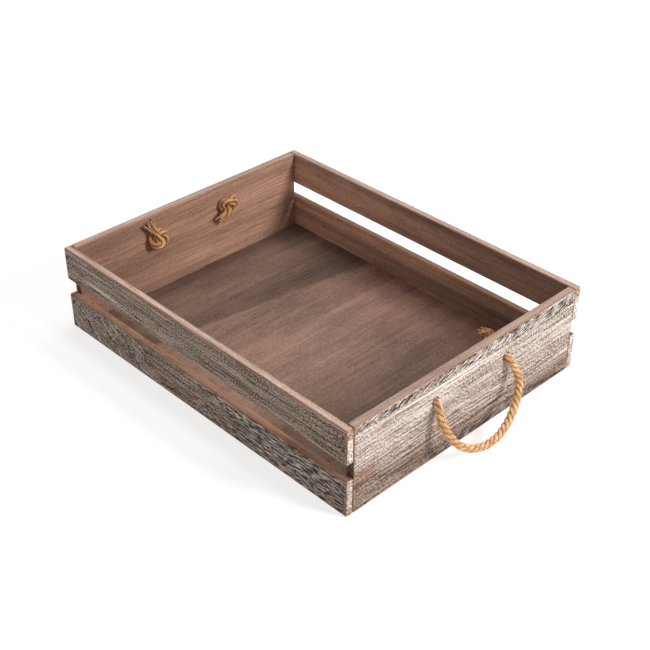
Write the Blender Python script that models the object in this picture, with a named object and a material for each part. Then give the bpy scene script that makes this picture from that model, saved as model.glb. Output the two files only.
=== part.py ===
"""A low, open-topped wooden crate with a rope handle through each end board.

Frame: +Z up, origin on the floor under the middle of the crate. The long side lies along X.
Front is the end board at +X and back the one at -X, left is the side at -Y and right the one at +Y.
"""

import math

import bmesh
import bpy
from mathutils import Matrix, Vector

# ---------------------------------------------------------------- driving dimensions, in metres
LENGTH = 0.418  # over the outer faces of the two end boards
WIDTH = 0.326  # over the outer faces of the side slats
HEIGHT = 0.0975  # from the floor to the rim
END_THICK = 0.009  # an end board, one full-height board
SLAT_THICK = 0.008
LOWER_HEIGHT = 0.041  # two slats on each side, with an open gap between them
UPPER_HEIGHT = 0.038
PANEL_THICK = 0.004  # the thin bottom sheet, set in between the four walls
JOINT_GAP = 0.0003  # what two touching pieces keep between them
EDGE_ROUND = 0.0008  # the eased edges of the boards

ROPE_RADIUS = 0.0045
HOLE_RADIUS = 0.006  # the rope's holes through the end boards
HOLE_SPACING = 0.100
HOLE_HEIGHT = 0.0695

BRAD_LENGTH = 0.020
BRAD_RADIUS = 0.0006
BRAD_HEAD_RADIUS = 0.0010
BRAD_HEAD_THICK = 0.0006
BRAD_SUNK = 0.0004  # how far the heads lie below the wood's face
BRAD_FROM_END = 0.0045  # from a slat's end, the middle of the end board's edge
BRAD_SHARES = (0.39, 0.76)  # of a slat's height
BRAD_POINT_SHARE = 0.25  # of the shaft, how wide the point is left
PIN_SCALE = 0.8  # the bottom sheet's pins, against the brads
PIN_PLACES_END = (-0.9, 0.9)  # of half the inside width, along an end board
PIN_PLACES_SIDE = (-0.75, 0.0, 0.75)  # of half the inside length, along a slat

# The swing axis of a handle, in front of the holes, and how the rope's middle runs from one
# hole to the other: (across, out from the board's face, height). It droops a little unevenly.
SWING_OUT = 0.0052
SWING_HEIGHT = 0.0665
LOOP_ROUTE = (
    (-0.0500, 0.0052, 0.0665),
    (-0.0512, 0.0076, 0.0585),
    (-0.0515, 0.0115, 0.0495),
    (-0.0495, 0.0170, 0.0400),
    (-0.0455, 0.0218, 0.0318),
    (-0.0390, 0.0258, 0.0253),
    (-0.0265, 0.0298, 0.0180),
    (-0.0090, 0.0320, 0.0142),
    (0.0095, 0.0312, 0.0157),
    (0.0255, 0.0280, 0.0212),
    (0.0405, 0.0231, 0.0297),
    (0.0520, 0.0170, 0.0405),
    (0.0550, 0.0113, 0.0505),
    (0.0535, 0.0074, 0.0593),
    (0.0500, 0.0052, 0.0665),
)
LOOP_STEP = 0.008  # between two rings of the rope's tube
CURVE_STEPS = 12  # how finely each span of the route is followed before the rings are set out
CAP_DEGREES = (30, 55, 75, 87)  # where the rings of the loop's rounded ends lie

# The stopper knots inside the crate: a ball of rope against the board, and its short tail.
KNOT_DEEP = 0.0095  # half the ball's size, square to the board
KNOT_WIDE = 0.0115  # half its size along the board
TAIL_RADIUS = 0.0050
TAIL_END_RADIUS = 0.0060
TAIL_EVEN_SHARE = 0.6  # of its length, before the tail opens out
# name: (end, side, ball's shift from its hole across and up, tail direction as (away from the
# board, across, up), tail length from the ball's middle)
KNOTS = {
    "knot_front_left": (1, -1, (0.001, -0.001), (0.55, 0.60, -0.55), 0.021),
    "knot_front_right": (1, 1, (-0.002, 0.001), (0.20, -0.20, 0.95), 0.024),
    "knot_back_left": (-1, -1, (-0.002, 0.0), (-0.10, -0.42, 0.90), 0.026),
    "knot_back_right": (-1, 1, (-0.003, 0.003), (0.20, -0.60, -0.78), 0.020),
}

# ---------------------------------------------------------------- derived
FACE_X = LENGTH / 2
FACE_Y = WIDTH / 2
INNER_X = FACE_X - END_THICK
INNER_Y = FACE_Y - SLAT_THICK
SLATS = {"lower": (0.0, LOWER_HEIGHT), "upper": (HEIGHT - UPPER_HEIGHT, HEIGHT)}
ENDS = {"front": 1, "back": -1}
SIDES = {"left": -1, "right": 1}


def clear_scene():
    for thing in list(bpy.data.objects):
        bpy.data.objects.remove(thing, do_unlink=True)


def material(name, color, roughness, metallic=0.0):
    made = bpy.data.materials.new(name)
    made.use_nodes = True
    shader = made.node_tree.nodes["Principled BSDF"]
    shader.inputs["Base Color"].default_value = (*color, 1.0)
    shader.inputs["Roughness"].default_value = roughness
    shader.inputs["Metallic"].default_value = metallic
    return made


def placed(name, data, look):
    thing = bpy.data.objects.new(name, data)
    bpy.context.collection.objects.link(thing)
    if look is not None:
        data.materials.append(look)
    return thing


def as_guide(thing):
    thing.hide_render = True
    thing.display_type = "WIRE"
    return thing


def join_with(thing, other, operation):
    made = thing.modifiers.new(other.name, "BOOLEAN")
    made.operation = operation
    made.solver = "EXACT"
    made.object = other


def board(name, low, high, look, eased=True):
    """A board between two corners, with its edges eased."""
    low, high = Vector(low), Vector(high)
    mesh = bpy.data.meshes.new(name)
    form = bmesh.new()
    bmesh.ops.create_cube(form, size=1.0)
    bmesh.ops.scale(form, vec=high - low, verts=form.verts)
    form.to_mesh(mesh)
    form.free()
    made = placed(name, mesh, look)
    made.location = (low + high) / 2
    if eased:
        ease = made.modifiers.new("eased_edges", "BEVEL")
        ease.width = EDGE_ROUND
        ease.segments = 2
    return made


def turned(name, profile, start, direction, sides, look):
    """A closed turned piece: profile is (radius, distance from start along direction)."""
    mesh = bpy.data.meshes.new(name)
    form = bmesh.new()
    rings = []
    for radius, along in profile:
        if radius == 0.0:
            rings.append([form.verts.new((0.0, 0.0, along))])
            continue
        ring = []
        for k in range(sides):
            angle = 2 * math.pi * k / sides
            ring.append(form.verts.new((radius * math.cos(angle), radius * math.sin(angle), along)))
        rings.append(ring)
    for lower, upper in zip(rings, rings[1:]):
        for k in range(sides):
            following = (k + 1) % sides
            corners = [lower[k % len(lower)], lower[following % len(lower)]]
            corners += [upper[following % len(upper)], upper[k % len(upper)]]
            form.faces.new(list(dict.fromkeys(corners)))
    for ring in (rings[0], rings[-1]):
        if len(ring) > 1:
            form.faces.new(ring)
    bmesh.ops.recalc_face_normals(form, faces=form.faces)
    form.to_mesh(mesh)
    form.free()
    made = placed(name, mesh, look)
    turn = Vector(direction).to_track_quat("Z", "Y").to_matrix().to_4x4()
    made.matrix_world = Matrix.Translation(Vector(start)) @ turn
    return made


def nail_profile(scale, room):
    """A brad from its head to its point. Room makes its clearance hole, open at the head."""
    shaft = BRAD_RADIUS * scale + room
    head = BRAD_HEAD_RADIUS * scale + room
    under_head = BRAD_SUNK + BRAD_HEAD_THICK + room
    top = -2 * EDGE_ROUND if room else BRAD_SUNK
    point = BRAD_LENGTH + room
    return [
        (head, top),
        (head, under_head),
        (shaft, under_head),
        (shaft, point - 2 * BRAD_RADIUS * scale),
        (BRAD_POINT_SHARE * shaft, point),
    ]


def nail(name, start, direction, look, boards, scale=1.0):
    """A brad with its head at start, and its hole through each of the boards it holds."""
    turned(name, nail_profile(scale, 0.0), start, direction, 8, look)
    hole = turned(name + "_hole", nail_profile(scale, JOINT_GAP), start, direction, 8, None)
    as_guide(hole)
    for held in boards:
        join_with(held, hole, "DIFFERENCE")


def walls(wood):
    """Two end boards between two pairs of side slats."""
    made = {}
    across = INNER_Y - JOINT_GAP
    for end, sign in ENDS.items():
        low_x, high_x = sorted((sign * INNER_X, sign * FACE_X))
        name = "end_board_" + end
        made[name] = board(name, (low_x, -across, 0.0), (high_x, across, HEIGHT), wood)
        for side, place in SIDES.items():
            start = (sign * (FACE_X + END_THICK), place * HOLE_SPACING / 2, HOLE_HEIGHT)
            profile = [(HOLE_RADIUS, 0.0), (HOLE_RADIUS, 3 * END_THICK)]
            hole = turned(name + "_hole_" + side, profile, start, (-sign, 0, 0), 20, None)
            join_with(made[name], as_guide(hole), "DIFFERENCE")
    for side, sign in SIDES.items():
        low_y, high_y = sorted((sign * INNER_Y, sign * FACE_Y))
        for level, (base, top) in SLATS.items():
            name = f"slat_{level}_{side}"
            made[name] = board(name, (-FACE_X, low_y, base), (FACE_X, high_y, top), wood)
    return made


def bottom(wood):
    reach_x = INNER_X - JOINT_GAP
    reach_y = INNER_Y - JOINT_GAP
    return board(
        "bottom_panel", (-reach_x, -reach_y, 0.0), (reach_x, reach_y, PANEL_THICK), wood, eased=False
    )


def slat_brads(parts, steel):
    """Two brads through each slat end into the end board's edge."""
    for side, sign in SIDES.items():
        for level, (base, top) in SLATS.items():
            for end, way in ENDS.items():
                held = (parts[f"slat_{level}_{side}"], parts["end_board_" + end])
                for mark, share in zip("ab", BRAD_SHARES):
                    height = base + share * (top - base)
                    start = (way * (FACE_X - BRAD_FROM_END), sign * FACE_Y, height)
                    nail(f"brad_{level}_{side}_{end}_{mark}", start, (0, -sign, 0), steel, held)


def bottom_pins(parts, panel, steel):
    """Thin pins through the walls into the bottom sheet's edge: two at each end, three a side."""
    height = PANEL_THICK / 2
    for end, way in ENDS.items():
        for mark, place in zip("ab", PIN_PLACES_END):
            start = (way * FACE_X, place * INNER_Y, height)
            held = (parts["end_board_" + end], panel)
            nail(f"pin_{end}_{mark}", start, (-way, 0, 0), steel, held, PIN_SCALE)
    for side, sign in SIDES.items():
        for mark, place in zip("abc", PIN_PLACES_SIDE):
            start = (place * INNER_X, sign * FACE_Y, height)
            held = (parts["slat_lower_" + side], panel)
            nail(f"pin_{side}_{mark}", start, (0, -sign, 0), steel, held, PIN_SCALE)


def smooth_route(points, step):
    """Points about a step apart on a smooth curve through the route's own points."""
    route = [Vector(p) for p in points]
    route = [2 * route[0] - route[1], *route, 2 * route[-1] - route[-2]]
    fine = []
    for a, b, c, d in zip(route, route[1:], route[2:], route[3:]):
        for k in range(CURVE_STEPS):
            t = k / CURVE_STEPS
            bend = 2 * b + (c - a) * t + (2 * a - 5 * b + 4 * c - d) * t**2
            fine.append((bend + (3 * b - a - 3 * c + d) * t**3) / 2)
    fine.append(route[-2])
    spans = [(b - a).length for a, b in zip(fine, fine[1:])]
    total = sum(spans)
    count = max(2, round(total / step))
    made = []
    for k in range(count + 1):
        want = total * k / count
        at = 0
        while at < len(spans) - 1 and want > spans[at]:
            want -= spans[at]
            at += 1
        made.append(fine[at].lerp(fine[at + 1], min(1.0, want / spans[at])))
    return made


def round_ended(points):
    """(point, share of the radius) along a tube whose two ends are half balls."""
    rings = [(p, 1.0) for p in points]
    for near, behind in ((points[0], points[1]), (points[-1], points[-2])):
        away = (near - behind).normalized()
        cap = []
        for degrees in CAP_DEGREES:
            angle = math.radians(degrees)
            cap.append((near + away * ROPE_RADIUS * math.sin(angle), math.cos(angle)))
        rings = cap[::-1] + rings if near is points[0] else rings + cap
    return rings


def handle(end, jute):
    """The rope's loop outside the board, from the swing axis at one hole to the other."""
    sign = ENDS[end]
    route = [(sign * (FACE_X + out), sign * across, height) for across, out, height in LOOP_ROUTE]
    rings = round_ended(smooth_route(route, LOOP_STEP))
    curve = bpy.data.curves.new("rope_loop_" + end, "CURVE")
    curve.dimensions = "3D"
    curve.bevel_depth = ROPE_RADIUS
    curve.bevel_resolution = 3
    curve.use_fill_caps = True
    line = curve.splines.new("POLY")
    line.points.add(len(rings) - 1)
    axis = Vector((sign * (FACE_X + SWING_OUT), 0.0, SWING_HEIGHT))
    for point, (place, share) in zip(line.points, rings):
        point.co = (*(place - axis), 1.0)
        point.radius = share
    made = placed("rope_loop_" + end, curve, jute)
    made.location = axis


def knot(name, sign, side, shift, tail_way, tail_length, jute):
    """A stopper knot's outer shape, with its tail and its stretch of rope through the hole."""
    hole_y = side * HOLE_SPACING / 2
    centre_x = sign * (INNER_X - KNOT_DEEP - JOINT_GAP)
    centre = Vector((centre_x, hole_y + shift[0], HOLE_HEIGHT + shift[1]))
    form = bmesh.new()
    bmesh.ops.create_uvsphere(form, u_segments=18, v_segments=12, radius=1.0)
    bmesh.ops.scale(form, vec=(KNOT_DEEP, KNOT_WIDE, KNOT_WIDE), verts=form.verts)
    mesh = bpy.data.meshes.new(name)
    form.to_mesh(mesh)
    form.free()
    mesh.shade_smooth()
    made = placed(name, mesh, jute)
    made.location = centre
    reach = FACE_X + SWING_OUT - ROPE_RADIUS - JOINT_GAP - abs(centre_x)
    stem_start = (centre_x, hole_y, HOLE_HEIGHT)
    stem_profile = [(ROPE_RADIUS, 0.0), (ROPE_RADIUS, reach)]
    stem = turned(name + "_stem", stem_profile, stem_start, (sign, 0, 0), 14, None)
    away, sideways, up = tail_way
    way = Vector((-sign * away, sideways, up)).normalized()
    even = TAIL_EVEN_SHARE * tail_length
    profile = [(TAIL_RADIUS, 0.0), (TAIL_RADIUS, even), (TAIL_END_RADIUS, tail_length)]
    tail = turned(name + "_tail", profile, centre, way, 12, None)
    for piece in (stem, tail):
        join_with(made, as_guide(piece), "UNION")


def crate():
    clear_scene()
    wood = material("weathered_wood", (0.36, 0.25, 0.19), 0.75)
    sheet = material("bottom_wood", (0.24, 0.16, 0.11), 0.7)
    jute = material("jute_rope", (0.72, 0.47, 0.20), 0.85)
    steel = material("brad_steel", (0.12, 0.11, 0.10), 0.5, 1.0)
    parts = walls(wood)
    panel = bottom(sheet)
    slat_brads(parts, steel)
    bottom_pins(parts, panel, steel)
    for end in ENDS:
        handle(end, jute)
    for name, (sign, side, shift, tail_way, tail_length) in KNOTS.items():
        knot(name, sign, side, shift, tail_way, tail_length, jute)


crate()
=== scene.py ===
"""Looks for the wooden crate with rope handles: worn, whitewashed boards, brads and laid jute rope."""

import math

import bpy
import numpy as np
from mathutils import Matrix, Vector


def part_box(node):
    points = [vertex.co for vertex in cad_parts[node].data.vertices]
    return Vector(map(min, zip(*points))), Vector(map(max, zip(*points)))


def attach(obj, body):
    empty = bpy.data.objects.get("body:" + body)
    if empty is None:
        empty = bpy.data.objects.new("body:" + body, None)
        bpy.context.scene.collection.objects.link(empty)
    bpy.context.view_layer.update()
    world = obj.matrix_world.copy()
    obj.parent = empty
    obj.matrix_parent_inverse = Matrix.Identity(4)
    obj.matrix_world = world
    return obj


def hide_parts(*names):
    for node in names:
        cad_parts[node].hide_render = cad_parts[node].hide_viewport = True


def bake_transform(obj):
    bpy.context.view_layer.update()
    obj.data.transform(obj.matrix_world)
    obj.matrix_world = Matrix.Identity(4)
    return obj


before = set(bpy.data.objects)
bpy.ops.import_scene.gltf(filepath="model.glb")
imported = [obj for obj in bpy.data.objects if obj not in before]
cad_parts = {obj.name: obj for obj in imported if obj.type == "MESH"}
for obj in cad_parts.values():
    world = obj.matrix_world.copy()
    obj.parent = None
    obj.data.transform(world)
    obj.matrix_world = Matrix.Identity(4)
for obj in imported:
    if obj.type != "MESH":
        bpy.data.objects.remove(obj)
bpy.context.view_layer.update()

# ---- what the frame says
ENDS = {"front": 1, "back": -1}
SIDES = {"left": -1, "right": 1}
LOW = {name: np.array(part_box(name)[0]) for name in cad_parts}
HIGH = {name: np.array(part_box(name)[1]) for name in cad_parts}
FACE_X = HIGH["end_board_front"][0]
INNER_X = LOW["end_board_front"][0]
HOLE_HEIGHT = 0.0695
HOLE_SPACING = 0.100

# The handle's route, (across, out from the board's face, height), as the CAD's loop has it.
LOOP_ROUTE = (
    (-0.0506, 0.0032, 0.0669), (-0.0516, 0.0058, 0.0625), (-0.0518, 0.0082, 0.0570), (-0.0518, 0.0115, 0.0495),
    (-0.0495, 0.0170, 0.0400), (-0.0455, 0.0218, 0.0318), (-0.0390, 0.0258, 0.0253), (-0.0265, 0.0298, 0.0180),
    (-0.0090, 0.0320, 0.0142), (0.0095, 0.0312, 0.0157), (0.0255, 0.0280, 0.0212), (0.0405, 0.0231, 0.0297),
    (0.0520, 0.0170, 0.0405), (0.0555, 0.0118, 0.0505), (0.0535, 0.0074, 0.0593), (0.0515, 0.0055, 0.0637),
    (0.0503, 0.0032, 0.0671),
)


# ---- noise
def hashed(cells, seed):
    """A repeatable number from 0 to 1 for each row of whole numbers."""
    mixed = (cells[:, 0] * 73856093) ^ (cells[:, 1] * 19349663) ^ (cells[:, 2] * 83492791)
    mixed = (mixed ^ (seed * 2654435761)) & 0xFFFFFFFF
    for _ in range(2):
        mixed = ((mixed ^ (mixed >> 16)) * 0x45D9F3B) & 0xFFFFFFFF
    return ((mixed ^ (mixed >> 16)) & 0xFFFFFF) / 0xFFFFFF


def noise(points, scale, seed, octaves=1):
    """Smooth noise from 0 to 1 at each point. Scale is features per metre along each axis."""
    total, weight = 0.0, 1.0
    for octave in range(octaves):
        at = points * np.asarray(scale, float) * 2.0**octave
        cell = np.floor(at).astype(np.int64)
        part = at - cell
        part = part * part * (3 - 2 * part)
        value = 0.0
        for corner in np.ndindex(2, 2, 2):
            share = np.prod(np.where(np.array(corner) == 1, part, 1 - part), axis=1)
            value = value + share * hashed(cell + np.array(corner), seed + 31 * octave)
        total = total + weight * value
        weight *= 0.5
    return total / (2 - 2.0 ** (1 - octaves))


def columns(*values):
    return np.stack(values, axis=1)


def rise(low, high, value):
    """0 below low and 1 above high, with a smooth step between them."""
    share = np.clip((value - low) / (high - low), 0, 1)
    return share * share * (3 - 2 * share)


def toward(stain, share, color):
    """Each point's colour, moved a share of the way to another."""
    return stain + share[:, None] * (np.array(color) - stain)


def blob(x, y, middle, size):
    """1 at the middle, falling away smoothly to the sides."""
    return np.exp(-(((x - middle[0]) / size[0]) ** 2) - ((y - middle[1]) / size[1]) ** 2)


# ---- meshes
def linked(name, data):
    made = bpy.data.objects.new(name, data)
    bpy.context.scene.collection.objects.link(made)
    return made


def mesh_object(name, points, faces, look):
    """A smooth mesh from arrays of faces, each array with faces of three or of four corners."""
    mesh = bpy.data.meshes.new(name)
    mesh.vertices.add(len(points))
    mesh.vertices.foreach_set("co", np.asarray(points, np.float32).ravel())
    sizes = np.concatenate([np.full(len(part), part.shape[1]) for part in faces]).astype(np.int32)
    corners = np.concatenate([part.ravel() for part in faces]).astype(np.int32)
    mesh.loops.add(len(corners))
    mesh.loops.foreach_set("vertex_index", corners)
    mesh.polygons.add(len(sizes))
    mesh.polygons.foreach_set("loop_start", (np.cumsum(sizes) - sizes).astype(np.int32))
    mesh.update(calc_edges=True)
    mesh.validate()
    mesh.shade_smooth()
    mesh.materials.append(look)
    return linked(name, mesh)


def move_points(made, points, normal, offset):
    """Put each point of a made mesh at its place moved along its normal."""
    moved = points + normal * offset[:, None]
    made.data.vertices.foreach_set("co", moved.astype(np.float32).ravel())
    made.data.update()


def set_attributes(made, **fields):
    """Numbers, vectors or colours at each point, for the materials to read."""
    kinds = {1: ("FLOAT", "value"), 3: ("FLOAT_VECTOR", "vector"), 4: ("FLOAT_COLOR", "color")}
    for name, values in fields.items():
        values = np.asarray(values, np.float32)
        kind, key = kinds[values.size // len(values)]
        made.data.attributes.new(name, kind, "POINT").data.foreach_set(key, values.ravel())


def opaque(color):
    return np.concatenate([color, np.ones((len(color), 1))], axis=1)


def normals_of(made):
    found = np.zeros(len(made.data.vertices) * 3, np.float32)
    made.data.vertex_normals.foreach_get("vector", found)
    return found.reshape(-1, 3).astype(float)


# ---- camera, light and floor
CAMERA_AT = (0.7772, -0.7372, 0.7629)
CAMERA_TO = (-0.0204, 0.0322, 0.0)
CAMERA_LENS = 68.82
PAPER = (0.37, 0.367, 0.365)
PAPER_GLOW = (1.0, 0.99, 0.98)
FLOOR_DROP = 0.0004  # the floor lies this far under the crate
FLOOR_RADIUS = 40.0


def aim(made, place, target=(0, 0, 0)):
    made.location = place
    made.rotation_euler = (Vector(target) - Vector(place)).to_track_quat("-Z", "Y").to_euler()


def camera():
    data = bpy.data.cameras.new("camera")
    data.lens = CAMERA_LENS
    made = linked("camera", data)
    aim(made, CAMERA_AT, CAMERA_TO)
    bpy.context.scene.camera = made


def soft_light(name, place, size, watts, tint=(1, 1, 1)):
    """A round soft box that faces the crate."""
    data = bpy.data.lights.new(name, "AREA")
    data.shape = "DISK"
    data.size = size
    data.energy = watts
    data.color = tint
    aim(linked(name, data), place)


def studio():
    """Soft light from high on the right, a softer one above, and a pale floor that glows a little."""
    scene = bpy.context.scene
    scene.view_settings.view_transform = "Standard"
    scene.view_settings.look = "None"
    world = bpy.data.worlds.new("studio")
    world.use_nodes = True
    backdrop = world.node_tree.nodes["Background"].inputs
    backdrop["Color"].default_value = (*PAPER_GLOW, 1)
    backdrop["Strength"].default_value = 0.34
    scene.world = world
    soft_light("key", (2.05, 0.74, 1.45), 0.62, 52, (1.0, 0.975, 0.945))
    soft_light("top", (-0.2, 0.7, 2.2), 1.4, 20)
    bpy.ops.mesh.primitive_circle_add(
        vertices=96, radius=FLOOR_RADIUS, fill_type="NGON", location=(0, 0, -FLOOR_DROP)
    )
    floor = bpy.context.object
    floor.name = "floor"
    tree = Tree("floor_paper")
    tree.look(PAPER, 0.9, Emission_Color=PAPER_GLOW, Emission_Strength=0.75)
    floor.data.materials.append(tree.material)


# ---- materials
class Tree:
    """A node material being built, with short ways to add what these materials use."""

    def __init__(self, name):
        self.material = bpy.data.materials.new(name)
        self.material.use_nodes = True
        self.nodes = self.material.node_tree.nodes
        self.links = self.material.node_tree.links
        self.shader = self.nodes["Principled BSDF"]

    def fill(self, socket, value):
        """Link a socket to another, or set its own number or colour."""
        if isinstance(value, bpy.types.NodeSocket):
            self.links.new(value, socket)
        elif isinstance(value, tuple) and len(value) == 3 and socket.type == "RGBA":
            socket.default_value = (*value, 1.0)
        else:
            socket.default_value = value

    def node(self, kind, inputs=None, **settings):
        made = self.nodes.new("ShaderNode" + kind)
        for key, value in settings.items():
            setattr(made, key, value)
        for key, value in (inputs or {}).items():
            self.fill(made.inputs[key], value)
        return made

    def attribute(self, name, output="Fac"):
        return self.node("Attribute", attribute_name=name).outputs[output]

    def math(self, operation, first, second=0.0, third=0.0):
        inputs = {0: first, 1: second, 2: third}
        return self.node("Math", inputs, operation=operation).outputs[0]

    def summed(self, total, *parts):
        """A number or socket, plus each part times its share."""
        for part, share in parts:
            total = self.math("MULTIPLY_ADD", part, share, total)
        return total

    def blend(self, factor, first, second, how="MIX"):
        made = self.node("Mix", data_type="RGBA", blend_type=how)
        self.fill(made.inputs[0], factor)
        self.fill(made.inputs[6], first)
        self.fill(made.inputs[7], second)
        return made.outputs[2]

    def dimmed(self, color, *shares):
        """A colour times a share of each channel, or times one share of them all."""
        shares = shares * 3 if len(shares) == 1 else shares
        share = self.node("CombineXYZ", dict(enumerate(shares))).outputs[0]
        return self.blend(1.0, color, share, "MULTIPLY")

    def stretched(self, vector, scale, shift):
        inputs = {0: vector, 1: scale, 2: shift}
        return self.node("VectorMath", inputs, operation="MULTIPLY_ADD").outputs[0]

    def noise(self, vector, scale, shift, detail, roughness=0.55, distortion=0.0):
        """Noise from 0 to 1, with scale features per metre along each axis."""
        inputs = {"Vector": self.stretched(vector, scale, shift), "Scale": 1.0, "Detail": detail}
        inputs.update(Roughness=roughness, Distortion=distortion)
        return self.node("TexNoise", inputs).outputs[0]

    def ramp(self, value, stops):
        """A number or colour read off a scale of (place, grey or colour)."""
        made = self.node("ValToRGB", {0: value})
        band = made.color_ramp
        while len(band.elements) < len(stops):
            band.elements.new(1.0)
        for element, (place, shade) in zip(band.elements, stops):
            element.position = place
            element.color = (*shade, 1.0) if isinstance(shade, tuple) else (shade, shade, shade, 1.0)
        return made.outputs[0]

    def step(self, value, low, high):
        """0 up to low and 1 from high on, with a smooth step between them."""
        inputs = {0: value, 1: low, 2: high, 3: 0.0, 4: 1.0}
        return self.node("MapRange", inputs, interpolation_type="SMOOTHSTEP").outputs[0]

    def look(self, color, roughness, **sockets):
        for key, value in {"Base_Color": color, "Roughness": roughness, **sockets}.items():
            self.fill(self.shader.inputs[key.replace("_", " ")], value)

    def bump(self, height, distance):
        inputs = {"Height": height, "Distance": distance, "Strength": 1.0}
        return self.node("Bump", inputs).outputs[0]


PAINT = (0.74, 0.67, 0.63)
# this grey also stands as painted shade: most of the left slats' dull whitewash
THIN_PAINT_AND_SHADE = (0.405, 0.310, 0.246)  # rubbed off again, with the brown showing through
CHAR = (0.036, 0.022, 0.015)
UNSHIFTED = (0, 0, 0)


def wood_material():
    """Boards: the stain comes with each point of the mesh, and the grain, char and paint on top."""
    tree = Tree("weathered_wood")
    grain = tree.attribute("grain", "Vector")
    sweep = tree.attribute("sweep", "Vector")
    burn = tree.attribute("burn")
    paint = tree.attribute("paint")
    wander = tree.noise(grain, (14, 34, 34), (2, 6, 4), 2.0)
    bent = tree.stretched(wander, (0.0, 0.004, 0.004), grain)
    dash = tree.noise(bent, (18, 680, 680), UNSHIFTED, 1.0, 0.6)
    fine = tree.noise(sweep, (500, 700, 700), (7, 3, 5), 1.0, 0.5)
    streak = tree.noise(bent, (8, 400, 400), (3, 9, 1), 2.0)
    cloud = tree.noise(grain, (8, 36, 36), (5, 5, 5), 2.0, 0.5)
    stroke = tree.noise(sweep, (95, 900, 900), (1, 4, 8), 1.0, 0.5, 0.4)
    split = tree.math("ABSOLUTE", tree.math("SUBTRACT", streak, 0.5))
    split = tree.step(split, 0.045, 0.012)
    turn = tree.math("FRACT", tree.attribute("ring"))
    late = tree.ramp(turn, ((0.0, 0.35), (0.1, 0.0), (0.62, 0.1), (0.9, 1.0), (1.0, 0.35)))
    # the bare wood: stain, a little lighter and darker along the grain
    tone = tree.summed(-0.53, (dash, 0.85), (fine, 0.85), (streak, 0.75), (cloud, 0.6), (late, -0.1))
    bare = tree.dimmed(tree.attribute("stain", "Color"), tone)
    # how proud each fibre stands: paint clings to what is high, and char stays in what is low
    lift = tree.summed(-2.5, (dash, 1.7), (fine, 2.7), (streak, 0.8), (split, -0.35))
    swept = tree.summed(-3.3, (stroke, 5.0), (fine, 1.6))
    strong = tree.step(burn, 0.62, 0.92)
    lift = tree.node("Mix", {0: strong, 2: lift, 3: swept}, data_type="FLOAT").outputs[0]
    cover = tree.summed(-0.15, (cloud, 0.3), (paint, 1.0), (lift, 1.0))
    cover = tree.math("MULTIPLY", tree.step(cover, 0.12, 0.88), tree.step(paint, 0.02, 0.22))
    char = tree.summed(burn, (lift, -1.0), (late, 0.16))
    char = tree.math("MULTIPLY", tree.step(char, 0.52, 1.12), tree.step(burn, 0.02, 0.22))
    wash = tree.blend(tree.attribute("white"), THIN_PAINT_AND_SHADE, PAINT)
    color = tree.blend(cover, bare, wash)
    color = tree.blend(tree.math("MULTIPLY", char, 0.9), color, CHAR)
    worked = tree.math("MAXIMUM", burn, paint)
    depth = tree.summed(0.00004, (worked, 0.0002))
    normal = tree.bump(tree.summed(lift, (char, -0.45)), depth)
    shine = tree.summed(0.3, (char, -0.2))
    tree.look(color, tree.summed(0.55, (fine, 0.25)), Normal=normal, Specular_IOR_Level=shine)
    return tree.material


def sheet_material():
    """The thin bottom sheet: smooth brown stain, with the grain across the crate."""
    tree = Tree("bottom_wood")
    grain = tree.attribute("grain", "Vector")
    streak = tree.noise(grain, (6, 150, 150), UNSHIFTED, 4.0, 0.62)
    fine = tree.noise(grain, (330, 560, 560), (1, 2, 3), 2.0, 0.6)
    line = tree.noise(grain, (12, 520, 520), (6, 1, 4), 1.0, 0.6)
    pore = tree.noise(grain, (190, 330, 330), (4, 4, 4), 1.0, 0.5)
    cloud = tree.noise(grain, (16, 28, 28), (9, 2, 2), 4.0, 0.6)
    pit = tree.step(pore, 0.73, 0.79)
    tone = tree.summed(-0.895, (streak, 0.8), (fine, 1.15), (line, 0.65), (cloud, 1.1), (pit, -0.42))
    color = tree.dimmed(tree.attribute("stain", "Color"), tone)
    normal = tree.bump(tree.summed(0.0, (fine, 0.5), (pit, -0.8)), 0.00008)
    tree.look(color, tree.summed(0.5, (streak, 0.3)), Normal=normal, Specular_IOR_Level=0.32)
    return tree.material


def jute_material():
    """Twisted jute: fibres along each yarn, with painted shade, darker and redder, down between the yarns and
    strands.
    """
    tree = Tree("jute_rope")
    fibre = tree.attribute("fibre", "Vector")
    shade = tree.attribute("shade")
    strand = tree.noise(fibre, (5.0, 5.0, 150.0), UNSHIFTED, 3.0, 0.65)
    hair = tree.noise(fibre, (14.0, 14.0, 330.0), (2, 7, 1), 2.0, 0.6)
    patch = tree.noise(fibre, (0.8, 0.8, 90.0), (5, 1, 8), 2.0, 0.5)
    mixed = tree.summed(0.0, (strand, 0.6), (hair, 0.5), (patch, 0.4))
    stops = ((0.48, (0.36, 0.165, 0.065)), (0.7, (0.79, 0.455, 0.205)), (0.94, (1.0, 0.76, 0.46)))
    # painted shade: the dark groove colour where the surface lies near the rope's middle and between the yarns
    groove_shade = tree.step(tree.attribute("groove_shade"), 0.5, 0.96)
    color = tree.blend(groove_shade, (0.36, 0.15, 0.052), tree.ramp(mixed, stops))
    # painted shade and bounce light: a lower shade makes the colour darker and redder, as on the knots inside
    # the crate; the shade also carries each yarn's own tone
    color = tree.dimmed(color, shade, tree.math("POWER", shade, 1.5), tree.math("POWER", shade, 1.8))
    normal = tree.bump(tree.summed(0.0, (strand, 0.6), (hair, 0.6)), 0.00055)
    tree.look(color, 0.82, Normal=normal, Specular_IOR_Level=0.2, Sheen_Weight=0.2, Sheen_Roughness=0.5)
    return tree.material


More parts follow.
